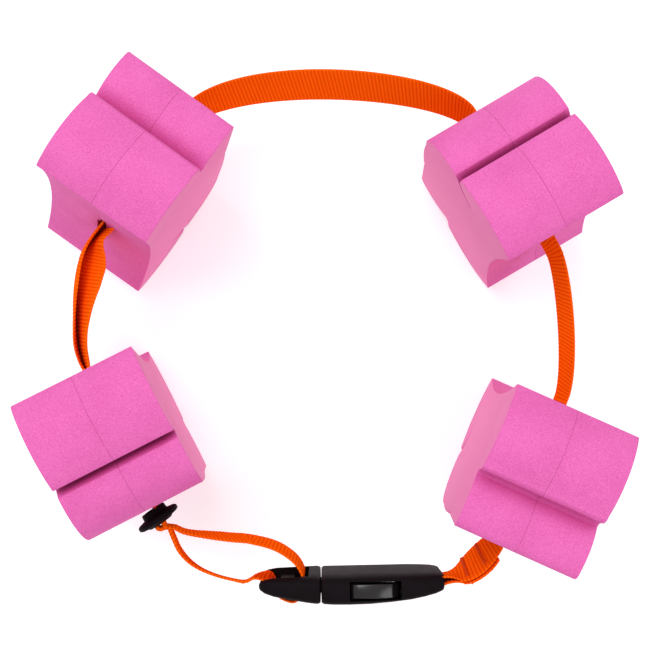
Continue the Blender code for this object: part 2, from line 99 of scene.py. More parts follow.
# adjuster loop
RISE_FROM = -36 * MM              # level beside the plug, then up to the keeper
SPREAD_FROM = 8 * MM              # from the keeper, where the webbing starts to widen
SPREAD_OVER = 34 * MM
LOWER_BRANCH = 72 * MM            # run from the plug's end back to the keeper
LOWER_LEAN = math.radians(9)      # its upper edge leans inward midway
LEAN_EASE_KEEPER, LEAN_EASE_PLUG = 4, 7

# ---- finish of the foam -------------------------------------------------
EDGE_RADIUS = 1.2 * MM            # worn outer edges
SEAM_RADIUS = 0.2 * MM            # edges along the glued joint
SEAM_GAP = 0.005 * MM
ROUNDED_ABOVE = math.radians(25)  # edges sharper than this are rounded
SMOOTH_BELOW = math.radians(38)   # and shading is smooth over flatter ones
SLOT_DEPTH = 1.3 * MM             # the foam closes round the webbing
SLOT_CLEARANCE = 0.8 * MM         # above and below the webbing
SLOT_STOP = -12 * MM              # end of the slot where the float has a mouth
PAST_JOINT = 0.5 * MM             # how far a cutter reaches past the joint
SLOT_PAST_END = 0.2 * FLOAT_LENGTH    # cutters run out past a float's ends
GRAIN = 0.75 * MM                 # foam cells
MOTTLE_SCALE = 55.0               # slow colour change, per metre
CREVICE_SHADE_REACH = 9 * MM                  # reach of the painted shade in grooves and slits

# pocket where the folded webbing leaves a float, in its outer and inner slab:
# how far it goes into the slab, then its bottom and top from the webbing's line
MOUTH_FROM, MOUTH_TO = -14 * MM, 5 * MM
MOUTHS = {
    1: [(1.7 * MM, -6.5 * MM, 12 * MM), (3.6 * MM, -11.5 * MM, 12 * MM)],
    4: [(1.7 * MM, -12 * MM, 6.5 * MM), (3.6 * MM, -12 * MM, 11.5 * MM)],
}

# ---- finish of the webbing and thread -----------------------------------
RIB_PITCH = 1.9 * MM              # cross ribs
RIB_SHAPE = 0.8                   # below 1, the crests are broad and the grooves narrow
RIB_STEPS = 8                     # rings per rib
RIB_SPREAD = 0.16 * MM            # a crest is wider than a groove by this much
RIB_DEPTH = 0.26                  # of the thickness
RIM_THINNING, RIM_POWER = 0.7, 14     # the two edges taper off
FACE_POINTS = 22                  # points across one face
YARN_PITCH = 0.62 * MM
FUZZ_SCALE = 1600.0
THREAD_RADIUS = 0.2 * MM
THREAD_PITCH = 0.6 * MM           # along the tack, per stitch
TWIST_SCALE = 4000.0

FOLD_LINE = 3 * MM                # the lengthwise fold, above the strap's middle
FOLD_SOFT = 1.3 * MM
FOLD_DROP = -9 * MM               # the folded strap's valley
FOLD_RAMP, FOLD_EARLY = 3, 1      # stations over which the fold closes, and to spare
PUCKER = 0.5 * MM                 # of the gathered strap
PUCKER_WAVES = 2.5
# the folded strap: share of the way from float 1 to float 4, then how far the
# outer and the inner flange lean from upright, in degrees
FLANGES = [(0.0, -8, 21), (0.1, -8, 32), (0.2, -8, 38), (0.33, -9, 36), (0.5, -6, 25),
           (0.63, -3, 18), (0.75, 0, 14), (0.9, -4, 13), (1.0, -8, 11)]

# ---- finish of the moulded pieces ---------------------------------------
SHELL_ROUND = 0.35 * MM           # edge radii
ARM_ROUND = 0.5 * MM
KEEPER_ROUND = 0.3 * MM
KEEPER_HUB_FROM = 7.0 * MM        # where the keeper's outer hub starts
KEEPER_HUB_KEPT = 0.4
KEEPER_TURN = math.radians(7)
TEXTURE_SCALE = 2600.0            # fine moulded texture
WEAR_SCALE = 140.0                # slow change of tone and gloss

# ---- colours ------------------------------------------------------------
FOAM_CUT = (0.80, 0.155, 0.48, 1)
FOAM_CUT_DARK = (0.66, 0.095, 0.36, 1)
# painted shade: the deep magenta put into grooves and slits where they lie in shade
FOAM_CREVICE_SHADE = (0.42, 0.015, 0.16, 1)
FOAM_SKIN = (0.79, 0.20, 0.47, 1)
FOAM_SKIN_DARK = (0.74, 0.165, 0.42, 1)
WEB_CREST = (1.0, 0.14, 0.003, 1)
# painted shade for the grooves between the ribs
WEB_GROOVE_SHADE = (0.68, 0.042, 0.0, 1)
THREAD_LIGHT = (1.0, 0.16, 0.012, 1)
THREAD_DARK = (0.85, 0.09, 0.006, 1)
PLASTIC = (0.0048, 0.0042, 0.0043, 1)
PLASTIC_WORN = (0.010, 0.0065, 0.009, 1)
WHITE = (1, 1, 1, 1)
PAPER = (0.8, 0.8, 0.8, 1)

# ---- studio -------------------------------------------------------------
PAPER_GLOW = 0.42
SKY_STRENGTH = 0.66
# name, place, disc diameter and power of each lamp
LAMPS = [("key", (-0.4, 0.5, 1.3), 0.9, 9.5), ("fill", (0.7, -0.4, 1.1), 0.8, 4)]
CAMERA_AIM = Vector((1.86, 5.32, 0)) * MM
CAMERA_LENS = 60.93
CAMERA_DISTANCE = 0.616
CAMERA_TILT = math.radians(0.3956)


# ---- materials ----------------------------------------------------------
class Shader:
    """A Principled material and short calls for wiring nodes into it."""

    def __init__(self, name, roughness, specular=0.5):
        self.material = bpy.data.materials.new(name)
        self.material.use_nodes = True
        self.tree = self.material.node_tree
        self.surface = self.tree.nodes["Principled BSDF"]
        self.surface.inputs["Roughness"].default_value = roughness
        self.surface.inputs["Specular IOR Level"].default_value = specular

    def node(self, kind, inputs=(), **settings):
        made = self.tree.nodes.new(kind)
        for key, value in settings.items():
            setattr(made, key, value)
        for key, value in dict(inputs).items():
            if isinstance(value, bpy.types.NodeSocket):
                self.tree.links.new(value, made.inputs[key])
            else:
                made.inputs[key].default_value = value
        return made

    def mix(self, factor, first, second):
        node = self.node("ShaderNodeMix", data_type="RGBA")
        for index, value in ((0, factor), (6, first), (7, second)):
            if isinstance(value, bpy.types.NodeSocket):
                self.tree.links.new(value, node.inputs[index])
            else:
                node.inputs[index].default_value = value
        return node.outputs[2]

    def math(self, operation, first, second=0.0):
        node = self.node("ShaderNodeMath", {0: first, 1: second}, operation=operation)
        return node.outputs[0]

    def noise(self, place, scale, detail, **inputs):
        node = self.node("ShaderNodeTexNoise",
                         {"Vector": place, "Scale": scale, "Detail": detail, **inputs})
        return node.outputs["Fac"]

    def clamp(self, value):
        return self.node("ShaderNodeClamp", {"Value": value}).outputs[0]

    def plug_in(self, socket, value):
        self.tree.links.new(value, self.surface.inputs[socket])

    def bump(self, height, strength, distance):
        node = self.node("ShaderNodeBump",
                         {"Height": height, "Strength": strength, "Distance": distance})
        self.plug_in("Normal", node.outputs["Normal"])


def foam_material(name, light, dark, roughness, grain_mix, bump):
    """Closed-cell foam: fine cells over a slow mottle, with painted shade darkening grooves and
    slits.
    """
    shader = Shader(name, roughness, 0.3)
    place = shader.node("ShaderNodeTexCoord").outputs["Object"]
    cells = shader.node("ShaderNodeTexVoronoi",
                        {"Vector": place, "Scale": 1 / GRAIN}).outputs["Distance"]
    speck = shader.noise(place, 1.5 / GRAIN, 1.0, Roughness=0.6)
    mottle = shader.noise(place, MOTTLE_SCALE, 2.0)
    grain = shader.math("MULTIPLY", shader.math("SUBTRACT", speck, 0.5), grain_mix)
    slow = shader.math("MULTIPLY", shader.math("SUBTRACT", mottle, 0.5), 0.9)
    share = shader.clamp(shader.math("ADD", shader.math("ADD", grain, slow), 0.45))
    lit = shader.mix(share, light, dark)
    # painted shade: ambient occlusion darkens the colour toward the deep magenta of shaded
    # grooves and slits
    open_sky = shader.node("ShaderNodeAmbientOcclusion",
                           {"Distance": CREVICE_SHADE_REACH}, samples=6).outputs["AO"]
    shaded = shader.mix(shader.math("POWER", open_sky, 0.8), FOAM_CREVICE_SHADE, lit)
    shader.plug_in("Base Color", shaded)
    height = shader.math("ADD", shader.math("MULTIPLY", cells, 0.6), speck)
    shader.bump(height, bump, 0.25 * MM)
    return shader.material


def webbing_material():
    """Ribbed polypropylene, with painted shade: the grooves between the ribs are painted darker.
    """
    shader = Shader("webbing_polypropylene", 0.85, 0.0)
    uv = shader.node("ShaderNodeUVMap", uv_map="strap").outputs["UV"]
    parts = shader.node("ShaderNodeSeparateXYZ", {"Vector": uv})
    wave = shader.math("SINE", shader.math("MULTIPLY", parts.outputs["X"], math.pi / RIB_PITCH))
    rib = shader.math("ABSOLUTE", wave)
    crest = shader.math("POWER", rib, 0.55)
    turns = shader.math("MULTIPLY", parts.outputs["Y"], 2 * math.pi / YARN_PITCH)
    yarn = shader.math("SINE", turns)
    fuzz = shader.noise(uv, FUZZ_SCALE, 2.0)
    uneven = shader.math("MULTIPLY", shader.math("SUBTRACT", fuzz, 0.5), 0.35)
    # painted shade: the colour darkens from the crests into the grooves between the ribs
    share = shader.clamp(shader.math("ADD", crest, uneven))
    shader.plug_in("Base Color", shader.mix(share, WEB_GROOVE_SHADE, WEB_CREST))
    height = shader.math("ADD", shader.math("MULTIPLY", yarn, 0.25), fuzz)
    shader.bump(height, 0.35, 0.12 * MM)
    return shader.material


def thread_material():
    """Twisted polyester thread."""
    shader = Shader("thread_polyester", 0.6, 0.2)
    place = shader.node("ShaderNodeTexCoord").outputs["Object"]
    twist = shader.noise(place, TWIST_SCALE, 1.0)
    shader.plug_in("Base Color", shader.mix(twist, THREAD_DARK, THREAD_LIGHT))
    shader.bump(twist, 0.3, 0.05 * MM)
    return shader.material


def plastic_material(name, roughness, specular):
    """Moulded acetal with a fine even texture."""
    shader = Shader(name, roughness, specular)
    place = shader.node("ShaderNodeTexCoord").outputs["Object"]
    fine = shader.noise(place, TEXTURE_SCALE, 2.0)
    slow = shader.noise(place, WEAR_SCALE, 2.0)
    shader.plug_in("Base Color", shader.mix(slow, PLASTIC, PLASTIC_WORN))
    uneven = shader.math("MULTIPLY", slow, 0.12)
    shader.plug_in("Roughness", shader.math("ADD", uneven, roughness - 0.06))
    shader.bump(fine, 0.12, 0.06 * MM)
    return shader.material


# ---- float frames and outline -------------------------------------------
def arc(start, end, bulge, steps):
    """Points of a circular arc; a positive bulge lies to the right of travel."""
    start, end = Vector(start), Vector(end)
    chord = end - start
    along = chord.normalized()
    side = Vector((along.y, -along.x)) * (1 if bulge > 0 else -1)
    rise = abs(bulge)
    radius = (chord.length ** 2 / 4 + rise ** 2) / (2 * rise)
    centre = (start + end) / 2 + side * (rise - radius)
    half = 2 * math.atan(2 * rise / chord.length)
    points = []
    for k in range(steps + 1):
        angle = half * (2 * k / steps - 1)
        points.append(centre + radius * (along * math.sin(angle) + side * math.cos(angle)))
    return points


def float_outline():
    """Cross-section of a float: along the webbing from the hollow end, and height."""
    hollow_top, lip = (-1.6, 34), (-43, 34)
    slit_far, slit_near = (-32, 19.6), (-32.3, 18.7)
    small_lobe, side, notch = (-47, 30.5), (-71.6, 3), (-71.2, -34)
    wall_foot, toe, valley = (-71.3, -70), (-66.5, -76), (-45.5, -70.5)
    crest, hollow_foot = (-38.5, -82), (-2, -76.2)
    points = arc(hollow_top, lip, 7, 18)
    points += arc((-43.2, 28.5), slit_far, 1.4, 5)
    points += arc(slit_near, (-44.6, 27.6), -1.4, 5)
    points += arc(small_lobe, side, 8.5, 16)
    points += arc(side, notch, 1.2, 8)[1:]
    points += [Vector((-69.6, -35.4)), Vector((-71, -38.2))]
    points += arc(wall_foot, toe, 1.9, 5)
    points += arc(toe, valley, 3.0, 8)[1:]
    points += arc((-44, -71.5), (-42.6, -78.5), -0.4, 3)
    points += arc((-42, -80), crest, 0.7, 2)
    points += arc(crest, hollow_foot, 6.4, 16)[1:]
    points += arc((-0.4, -74.6), (-0.4, 32.2), -7, 24)
    return [point * MM for point in points]


def float_matrix(number):
    """Frame of a float whose lowest edge stands on the floor."""
    (east, north), heading, lean, tip, slit_up = FLOATS[number]
    turn = (Matrix.Rotation(math.radians(heading), 4, "Z")
            @ Matrix.Rotation(math.radians(tip), 4, "X")
            @ Matrix.Rotation(math.radians(lean), 4, "Y"))
    if not slit_up:
        turn = turn @ Matrix.Rotation(math.pi, 4, "Y")
    lowest = min((turn @ Vector((point.x, side, point.y))).z
                 for point in float_outline() for side in (-SLAB, SLAB))
    place = Vector((east * MM, north * MM, -lowest)) - RING_CENTRE
    return Matrix.Translation(place) @ turn


# ---- foam ---------------------------------------------------------------
def box_mesh(name, low, high):
    """Box between two corners."""
    low, high = Vector(low), Vector(high)
    bm = bmesh.new()
    matrix = Matrix.Translation((low + high) / 2) @ Matrix.Diagonal((*(high - low), 1))
    bmesh.ops.create_cube(bm, size=1, matrix=matrix)
    mesh = bpy.data.meshes.new(name)
    bm.to_mesh(mesh)
    bm.free()
    return mesh


def add_object(name, mesh):
    obj = bpy.data.objects.new(name, mesh)
    bpy.context.scene.collection.objects.link(obj)
    return obj


def bake(obj):
    """Replace an object's mesh by the one its modifiers make."""
    bpy.context.view_layer.update()
    made = bpy.data.meshes.new_from_object(
        obj.evaluated_get(bpy.context.evaluated_depsgraph_get()))
    obj.modifiers.clear()
    obj.data = made


def carve(obj, meshes):
    """Cut each mesh out of an object."""
    cutters = []
    for index, mesh in enumerate(meshes):
        cutter = add_object(f"cutter_{index}", mesh)
        cutters.append(cutter)
        modifier = obj.modifiers.new("carve", "BOOLEAN")
        modifier.operation, modifier.solver, modifier.object = "DIFFERENCE", "EXACT", cutter
    bake(obj)
    for cutter in cutters:
        bpy.data.objects.remove(cutter)


def round_edges(bm, edges, radius, segments):
    bmesh.ops.bevel(bm, geom=edges, offset=radius, offset_type="OFFSET", affect="EDGES",
                    segments=segments, profile=0.5, clamp_overlap=True)


def slab_outline(name, joint, face):
    """A float's outline drawn out from the joint to the flat face, edges rounded."""
    bm = bmesh.new()
    ring = [bm.verts.new((point.x, joint, point.y)) for point in float_outline()]
    cap = bm.faces.new(ring)
    grown = bmesh.ops.extrude_face_region(bm, geom=[cap])["geom"]
    verts = [item for item in grown if isinstance(item, bmesh.types.BMVert)]
    bmesh.ops.translate(bm, verts=verts, vec=(0, face - joint, 0))
    bmesh.ops.recalc_face_normals(bm, faces=bm.faces)

    def on_joint(edge):
        return all(abs(vert.co.y - joint) < 1e-6 for vert in edge.verts)

    worn = [edge for edge in bm.edges
            if not on_joint(edge) and edge.calc_face_angle_signed() > ROUNDED_ABOVE]
    round_edges(bm, worn, EDGE_RADIUS, 3)
    seam = [edge for edge in bm.edges
            if on_joint(edge) and edge.calc_face_angle() > ROUNDED_ABOVE]
    round_edges(bm, seam, SEAM_RADIUS, 2)
    mesh = bpy.data.meshes.new(name)
    bm.to_mesh(mesh)
    bm.free()
    return mesh


def joint_cutter(name, start, stop, reach, bottom, top, face):
    """Box that cuts into one slab from the joint, about the webbing's line."""
    sides = sorted((math.copysign(reach, face), math.copysign(PAST_JOINT, -face)))
    return box_mesh(name, (start, sides[0], WEB_LINE + bottom), (stop, sides[1], WEB_LINE + top))


def foam_slab(name, number, joint, face, materials):
    """One slab of a float, with its half of the webbing's slot."""
    obj = add_object(name, slab_outline(name, joint, face))
    half = WEB_WIDTH / 2 + SLOT_CLEARANCE
    start = -FLOAT_LENGTH - SLOT_PAST_END
    stop = SLOT_STOP if number in MOUTHS else SLOT_PAST_END
    cutters = [joint_cutter("slot", start, stop, SLOT_DEPTH, -half, half, face)]
    if number in MOUTHS:
        reach, bottom, top = MOUTHS[number][0 if face > 0 else 1]
        cutters.append(joint_cutter("mouth", MOUTH_FROM, MOUTH_TO, reach, bottom, top, face))
    carve(obj, cutters)
    for material in materials:
        obj.data.materials.append(material)
    for polygon in obj.data.polygons:
        polygon.material_index = 1 if abs(polygon.normal.y) > 0.8 else 0
    obj.data.transform(float_matrix(number))
    obj.data.shade_smooth()
    obj.data.set_sharp_from_angle(angle=SMOOTH_BELOW)
    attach(obj, f"float_{number}")
    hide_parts(name.replace("foam", "float"))


# ---- webbing ------------------------------------------------------------
class Station:
    """One place along a strap: position, upward edge and shape of its section.

    fold closes the strap lengthwise into a V, whose outer and inner flanges
    lean out and in by the two angles; gather puckers it.
    """

    def __init__(self, place, up, width=WEB_WIDTH, thick=WEB_THICK, fold=0.0,
                 outer_lean=0.0, inner_lean=0.0, gather=0.0):
        self.place, self.up = Vector(place), Vector(up).normalized()
        self.width, self.thick, self.fold = width, thick, fold
        self.outer_lean, self.inner_lean, self.gather = outer_lean, inner_lean, gather

    def row(self):
        return [*self.place, *self.up, self.width, self.thick, self.fold,
                self.outer_lean, self.inner_lean, self.gather]


def station_in_float(number, along, across=0.0, **shape):
    """Station on a float's webbing line, with its upward edge up."""
    matrix = float_matrix(number)
    up = matrix.to_3x3() @ Vector((0, 0, 1 if FLOATS[number][4] else -1))
    return Station(matrix @ Vector((along, across, WEB_LINE)), up, **shape)


def heading_in_float(number, toward_hollow_end):
    direction = float_matrix(number).to_3x3() @ Vector((1, 0, 0))
    return direction if toward_hollow_end else -direction


def free_span(first, first_heading, last, last_heading, slacks, lean, steps):
    """Stations strictly between two others, on a Hermite curve."""
    chord = (last.place - first.place).length
    leave = first_heading.normalized() * chord * slacks[0]
    arrive = last_heading.normalized() * chord * slacks[1]
    stations = []
    for k in range(1, steps):
        t = k / steps
        place = (first.place * (2 * t ** 3 - 3 * t ** 2 + 1) + leave * (t ** 3 - 2 * t ** 2 + t)
                 + last.place * (3 * t ** 2 - 2 * t ** 3) + arrive * (t ** 3 - t ** 2))
        up = first.up.lerp(last.up, t).normalized()
        outward = Vector((place.x, place.y, 0)).normalized()
        up += outward * math.tan(lean) * math.sin(math.pi * t)
        stations.append(Station(place, up))
    return stations


def refine(stations, spacing):
    """Rows of evenly spaced stations on a smooth curve through the given ones."""
    rows = np.array([station.row() for station in stations])
    steps = np.linalg.norm(np.diff(rows[:, :3], axis=0), axis=1)
    travel = np.concatenate([[0], np.cumsum(steps)])
    slopes = np.gradient(rows, travel, axis=0)
    samples = np.linspace(0, travel[-1], int(travel[-1] / spacing) + 1)
    k = np.clip(np.searchsorted(travel, samples, side="right") - 1, 0, len(travel) - 2)
    h = (travel[k + 1] - travel[k])[:, None]
    t = (samples - travel[k])[:, None] / h
    fine = ((2 * t ** 3 - 3 * t ** 2 + 1) * rows[k]
            + (t ** 3 - 2 * t ** 2 + t) * h * slopes[k]
            + (3 * t ** 2 - 2 * t ** 3) * rows[k + 1]
            + (t ** 3 - t ** 2) * h * slopes[k + 1])
    return samples, fine


def unit(vectors):
    return vectors / np.linalg.norm(vectors, axis=-1, keepdims=True)


def smooth_step(share):
    share = np.clip(share, 0, 1)
    return share * share * (3 - 2 * share)


def across_shares():
    """Places across a face from -1 to 1, closer together at the fold and the edges."""
    grid = np.linspace(-1, 1, 401)
    crowd = (1 + 5 * np.exp(-((grid - 2 * FOLD_LINE / WEB_WIDTH) / 0.1) ** 2)
             + 2 * np.exp(-((1 - np.abs(grid)) / 0.06) ** 2))
    gone = np.concatenate([[0], np.cumsum((crowd[1:] + crowd[:-1]) / 2)])
    return np.interp(np.linspace(0, gone[-1], FACE_POINTS), gone, grid)


def folded_section(w, fold, outer_lean, inner_lean):
    """Sideways and upward place of each point at distance w across the strap."""
    lower = fold * (math.pi - inner_lean)
    upper = fold * outer_lean
    blend = smooth_step((w - FOLD_LINE + FOLD_SOFT) / (2 * FOLD_SOFT))
    theta = lower[:, None] * (1 - blend) + upper[:, None] * blend
    step = np.diff(w, axis=1)
    middle = (theta[:, 1:] + theta[:, :-1]) / 2
    edge = np.zeros((len(w), 1))
    out = np.concatenate([edge, np.cumsum(np.sin(middle) * step, axis=1)], axis=1)
    rise = np.concatenate([edge, np.cumsum(np.cos(middle) * step, axis=1)], axis=1)
    fold_out = np.array([np.interp(FOLD_LINE, *pair) for pair in zip(w, out)])
    fold_rise = np.array([np.interp(FOLD_LINE, *pair) for pair in zip(w, rise)])
    valley = FOLD_LINE * (1 - fold) + FOLD_DROP * fold
    return out - fold_out[:, None], rise + (valley - fold_rise)[:, None]


def swept_mesh(name, rings, lengths, widths):
    """Closed mesh through rings of points, with its lengths and widths as UVs."""
    count = rings.shape[1]
    start = np.arange(len(rings) - 1)[:, None] * count
    here = np.arange(count)[None, :]
    a, b = start + here, start + (here + 1) % count
    quads = np.stack([a, b, b + count, a + count], axis=-1).reshape(-1, 4)
    last = (len(rings) - 1) * count
    caps = [list(range(count))[::-1], list(range(last, last + count))]
    mesh = bpy.data.meshes.new(name)
    mesh.from_pydata(rings.reshape(-1, 3).tolist(), [], quads.tolist() + caps)
    layer = mesh.uv_layers.new(name="strap")
    flat_uv = np.stack([np.repeat(lengths, count), widths.reshape(-1)], axis=-1)
    loops = np.zeros(len(mesh.loops), dtype=int)
    mesh.loops.foreach_get("vertex_index", loops)
    layer.data.foreach_set("uv", flat_uv[loops].astype(np.float32).reshape(-1))
    mesh.validate()
    mesh.shade_smooth()
    bm = bmesh.new()
    bm.from_mesh(mesh)
    bmesh.ops.recalc_face_normals(bm, faces=bm.faces)
    bm.to_mesh(mesh)
    bm.free()
    return mesh


def strap(name, stations, material):
    """Ribbed strap swept along its stations."""
    travel, rows = refine(stations, RIB_PITCH / RIB_STEPS)
    place, up = rows[:, 0:3], rows[:, 3:6]
    width, thick, fold, outer_lean, inner_lean, gather = rows[:, 6:12].T
    tangent = unit(np.gradient(place, axis=0))
    across = unit(np.cross(tangent, up))
    up = np.cross(across, tangent)

    share = across_shares()
    rib = np.abs(np.sin(travel * math.pi / RIB_PITCH)) ** RIB_SHAPE
    half = width / 2 + RIB_SPREAD * (rib - 0.5)
    w = half[:, None] * share[None, :]
    out, rise = folded_section(w, np.clip(fold, 0, 1), outer_lean, inner_lean)
    out += gather[:, None] * PUCKER * np.cos(PUCKER_WAVES * math.pi * share)[None, :]

    run_out, run_rise = np.gradient(out, axis=1), np.gradient(rise, axis=1)
    length = np.hypot(run_out, run_rise)
    normal_out, normal_rise = run_rise / length, -run_out / length
    rim = 1 - RIM_THINNING * np.abs(share) ** RIM_POWER
    depth = (thick / 2 * (1 - RIB_DEPTH + RIB_DEPTH * rib))[:, None] * rim[None, :]
    faces = []
    for sign in (-1, 1):
        o = out + sign * normal_out * depth
        r = rise + sign * normal_rise * depth
        faces.append(place[:, None] + across[:, None] * o[..., None] + up[:, None] * r[..., None])
    rings = np.concatenate([faces[0], faces[1][:, ::-1]], axis=1)
    mesh = swept_mesh(name, rings, travel, np.concatenate([w, w[:, ::-1]], axis=1))
    mesh.materials.append(material)
    return add_object(name, mesh)


# ---- buckle frame -------------------------------------------------------
def buckle_matrix():
    return (Matrix.Translation(BUCKLE_ORIGIN - RING_CENTRE)
            @ Matrix.Rotation(BUCKLE_YAW, 4, "Z") @ Matrix.Rotation(-BUCKLE_TILT, 4, "X"))


def buckle_bow(along):
    """How far the buckle's middle line bows outward, along its length."""
    middle, curvature = 15 * MM, 1.3
    return curvature * (along - middle) ** 2


# ---- routes -------------------------------------------------------------
def lap_span(steps=16):
    """Stations from the socket to float 3, midway between the lap's two layers."""
    matrix = buckle_matrix()
    heading = matrix.to_3x3() @ Vector((math.cos(LAP_HEADING), math.sin(LAP_HEADING), 0))
    first = Station(matrix @ Vector((*LAP_START, 0)), matrix.to_3x3() @ Vector((0, 0, 1)))
    last = station_in_float(3, -FLOAT_LENGTH - RUN_OUT)
    span = free_span(first, heading, last, heading_in_float(3, True), (0.55, 0.55),
                     LAP_LEAN, steps)
    return [first] + span + [last]


def shifted(stations, index, offset):
    """A station moved sideways, toward the wearer when offset is positive."""
    station = stations[index]
    before, after = stations[max(index - 1, 0)], stations[min(index + 1, len(stations) - 1)]
    tangent = (after.place - before.place).normalized()
    side = station.up.cross(tangent).normalized()
    return Station(station.place + side * offset, station.up, station.width, station.thick)


def sewn_end():
    """Lap, fold round the socket's bar, and the run up to float 3."""
    span = lap_span()
    last_lapped = round(LAP_SHARE * (len(span) - 1))
    stations = [shifted(span, k, -LAP_PITCH / 2) for k in range(last_lapped, -1, -1)]
    matrix = buckle_matrix()
    bow = buckle_bow(SOCKET_BAR_START)
    turns = 12
    for k in range(turns + 1):
        angle = math.pi * (1.5 - k / turns)
        place = Vector((TURN_CENTRE + TURN_RADIUS * math.cos(angle),
                        bow + TURN_RADIUS * math.sin(angle), 0))
        stations.append(Station(matrix @ place, span[0].up))
    for k in range(len(span)):
        past_lap = max(0, k - last_lapped) / (len(span) - 1 - last_lapped)
        stations.append(shifted(span, k, LAP_PITCH / 2 * (1 - past_lap)))
    return stations


def run_through(number, to_hollow_end, steps=4):
    """Straight stations through a float."""
    ends = (-FLOAT_LENGTH - RUN_OUT, RUN_OUT)
    first, last = ends if to_hollow_end else ends[::-1]
    return [station_in_float(number, first + (last - first) * k / steps)
            for k in range(steps + 1)]


def span_between(first_float, first_hollow, last_float, last_hollow, slacks, lean, steps):
    """Free webbing from one float to the next; hollow says which end it leaves or enters."""
    first = station_in_float(first_float, RUN_OUT if first_hollow else -FLOAT_LENGTH - RUN_OUT)
    last = station_in_float(last_float, RUN_OUT if last_hollow else -FLOAT_LENGTH - RUN_OUT)
    return free_span(first, heading_in_float(first_float, first_hollow),
                     last, heading_in_float(last_float, not last_hollow),
                     slacks, math.radians(lean), steps)


def gathered_exit():
    """Webbing that narrows inside float 4 and is led into the keeper."""
    stations = [station_in_float(4, RUN_OUT), station_in_float(4, GATHER_FROM)]
    steps = 8
    for k in range(1, steps + 1):
        along = GATHER_FROM + k / steps * (KEEPER_BACK + KEEPER_STANDOFF - GATHER_FROM)
        ease = smooth_step(k / steps)
        stations.append(station_in_float(4, along, gather=ease,
                                         width=WEB_WIDTH + (BUNCH_WIDTH - WEB_WIDTH) * ease,
                                         thick=WEB_THICK + (BUNCH_THICK - WEB_THICK) * ease))
    for along, across in ((KEEPER_BACK + 1.6 * MM, -0.5), (KEEPER_BACK, -1.0), (WEB_JOIN, -1.0)):
        stations.append(station_in_float(4, along, across * BRANCH_OFFSET, gather=1.0,
                                         width=BUNCH_WIDTH, thick=BUNCH_THICK))
    return stations


def fold_left_span(stations, first, last):
    """Close the strap lengthwise between two stations of the list."""
    places, outer, inner = zip(*FLANGES)
    closing = FOLD_RAMP - FOLD_EARLY
    for k in range(first - FOLD_RAMP, last + FOLD_RAMP + 1):
        t = min(1, max(0, (k - first) / (last - first)))
        station = stations[k]
        station.fold = min(1, (k - first + FOLD_RAMP) / closing, (last + FOLD_RAMP - k) / closing)
        station.outer_lean = math.radians(np.interp(t, places, outer))
        station.inner_lean = math.radians(np.interp(t, places, inner))


def main_webbing(material):
    """The belt: sewn end, floats 3, 2, 1 and 4 in turn, and into the keeper."""
    stations = sewn_end()
    stations += run_through(3, True)[1:]
    stations += span_between(3, True, 2, True, (0.62, 0.45), 2, 16)
    stations += run_through(2, False)
    stations += span_between(2, False, 1, False, (0.5, 0.82), 3, 30)
    stations += run_through(1, True, 8)
    first = len(stations) - 1
    stations += span_between(1, True, 4, True, (0.78, 0.6), 0, 14)
    last = len(stations)
    exit_run = gathered_exit()
    inside = [station_in_float(4, along * MM) for along in (-5, -10, -15, -20, -27)]
    stations += exit_run[:1] + inside + exit_run[1:]
    fold_left_span(stations, first, last)
    obj = strap("strap_belt", stations, material)
    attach(obj, "belt")
    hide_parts("webbing_main")


def smooth_route(points, steps):
    """Catmull-Rom curve through given points."""
    points = [Vector(point) for point in points]
    padded = [2 * points[0] - points[1]] + points + [2 * points[-1] - points[-2]]
    route = []
    for k in range(len(points) - 1):
        p0, p1, p2, p3 = padded[k:k + 4]
        for j in range(steps):
            t = j / steps
            route.append(0.5 * (2 * p1 + (p2 - p0) * t
                                + (2 * p0 - 5 * p1 + 4 * p2 - p3) * t ** 2
                                + (3 * p1 - p0 - 3 * p2 + p3) * t ** 3))
    return route + [points[-1]]


def adjuster_route():
    """Middle line of the loop: keeper, plug's bars, and back to the keeper."""
    upper = [(-72.0, 31.6), (-67, 29.2), (-57, 27.0), (-46.8, 25.2), (-34.3, 23.2),
             (-22.5, 19.8), (-13.4, 13.8), (-9.2, 7.4), (-9.3, 2.0)]
    weave = [(-10.2, -4.0), (-12.6, -7.0), (-16.5, -6.6), (-20.8, -4.3), (-23.2, -1.2),
             (-24.6, 1.0), (-26.0, 2.7), (-29, 3.5), (-33, 3.2)]
    lower = [(-38, 2.6), (-45, 4.0), (-53, 6.8), (-60, 10.4), (-66.0, 15.0), (-70.3, 20.4),
             (-73.0, 26.6), (-74.9, 31.6)]
    matrix = buckle_matrix()
    bow = Vector((0, buckle_bow(BARS_MIDDLE), 0))
    flat = [Vector((x, y, 0)) * MM for x, y in upper]
    flat += [Vector((x, y, 0)) * MM + bow for x, y in weave]
    flat += [Vector((x, y, 0)) * MM for x, y in lower]
    out = matrix.inverted() @ station_in_float(4, KEEPER_FRONT).place
    route = []
    for place in smooth_route(flat, 5):
        rise = out.z * min(1, max(0, (place.x - RISE_FROM) / (out.x - RISE_FROM)))
        inward = place.y - rise * math.tan(BUCKLE_TILT)
        route.append(matrix @ Vector((place.x, inward, rise)))
    lead = [station_in_float(4, along, -BRANCH_OFFSET).place
            for along in (WEB_JOIN - GAP, KEEPER_FRONT - 1.0 * MM)]
    tail = [station_in_float(4, along, BRANCH_OFFSET).place
            for along in (KEEPER_FRONT - 0.5 * MM, WEB_JOIN)]
    return lead + route + tail


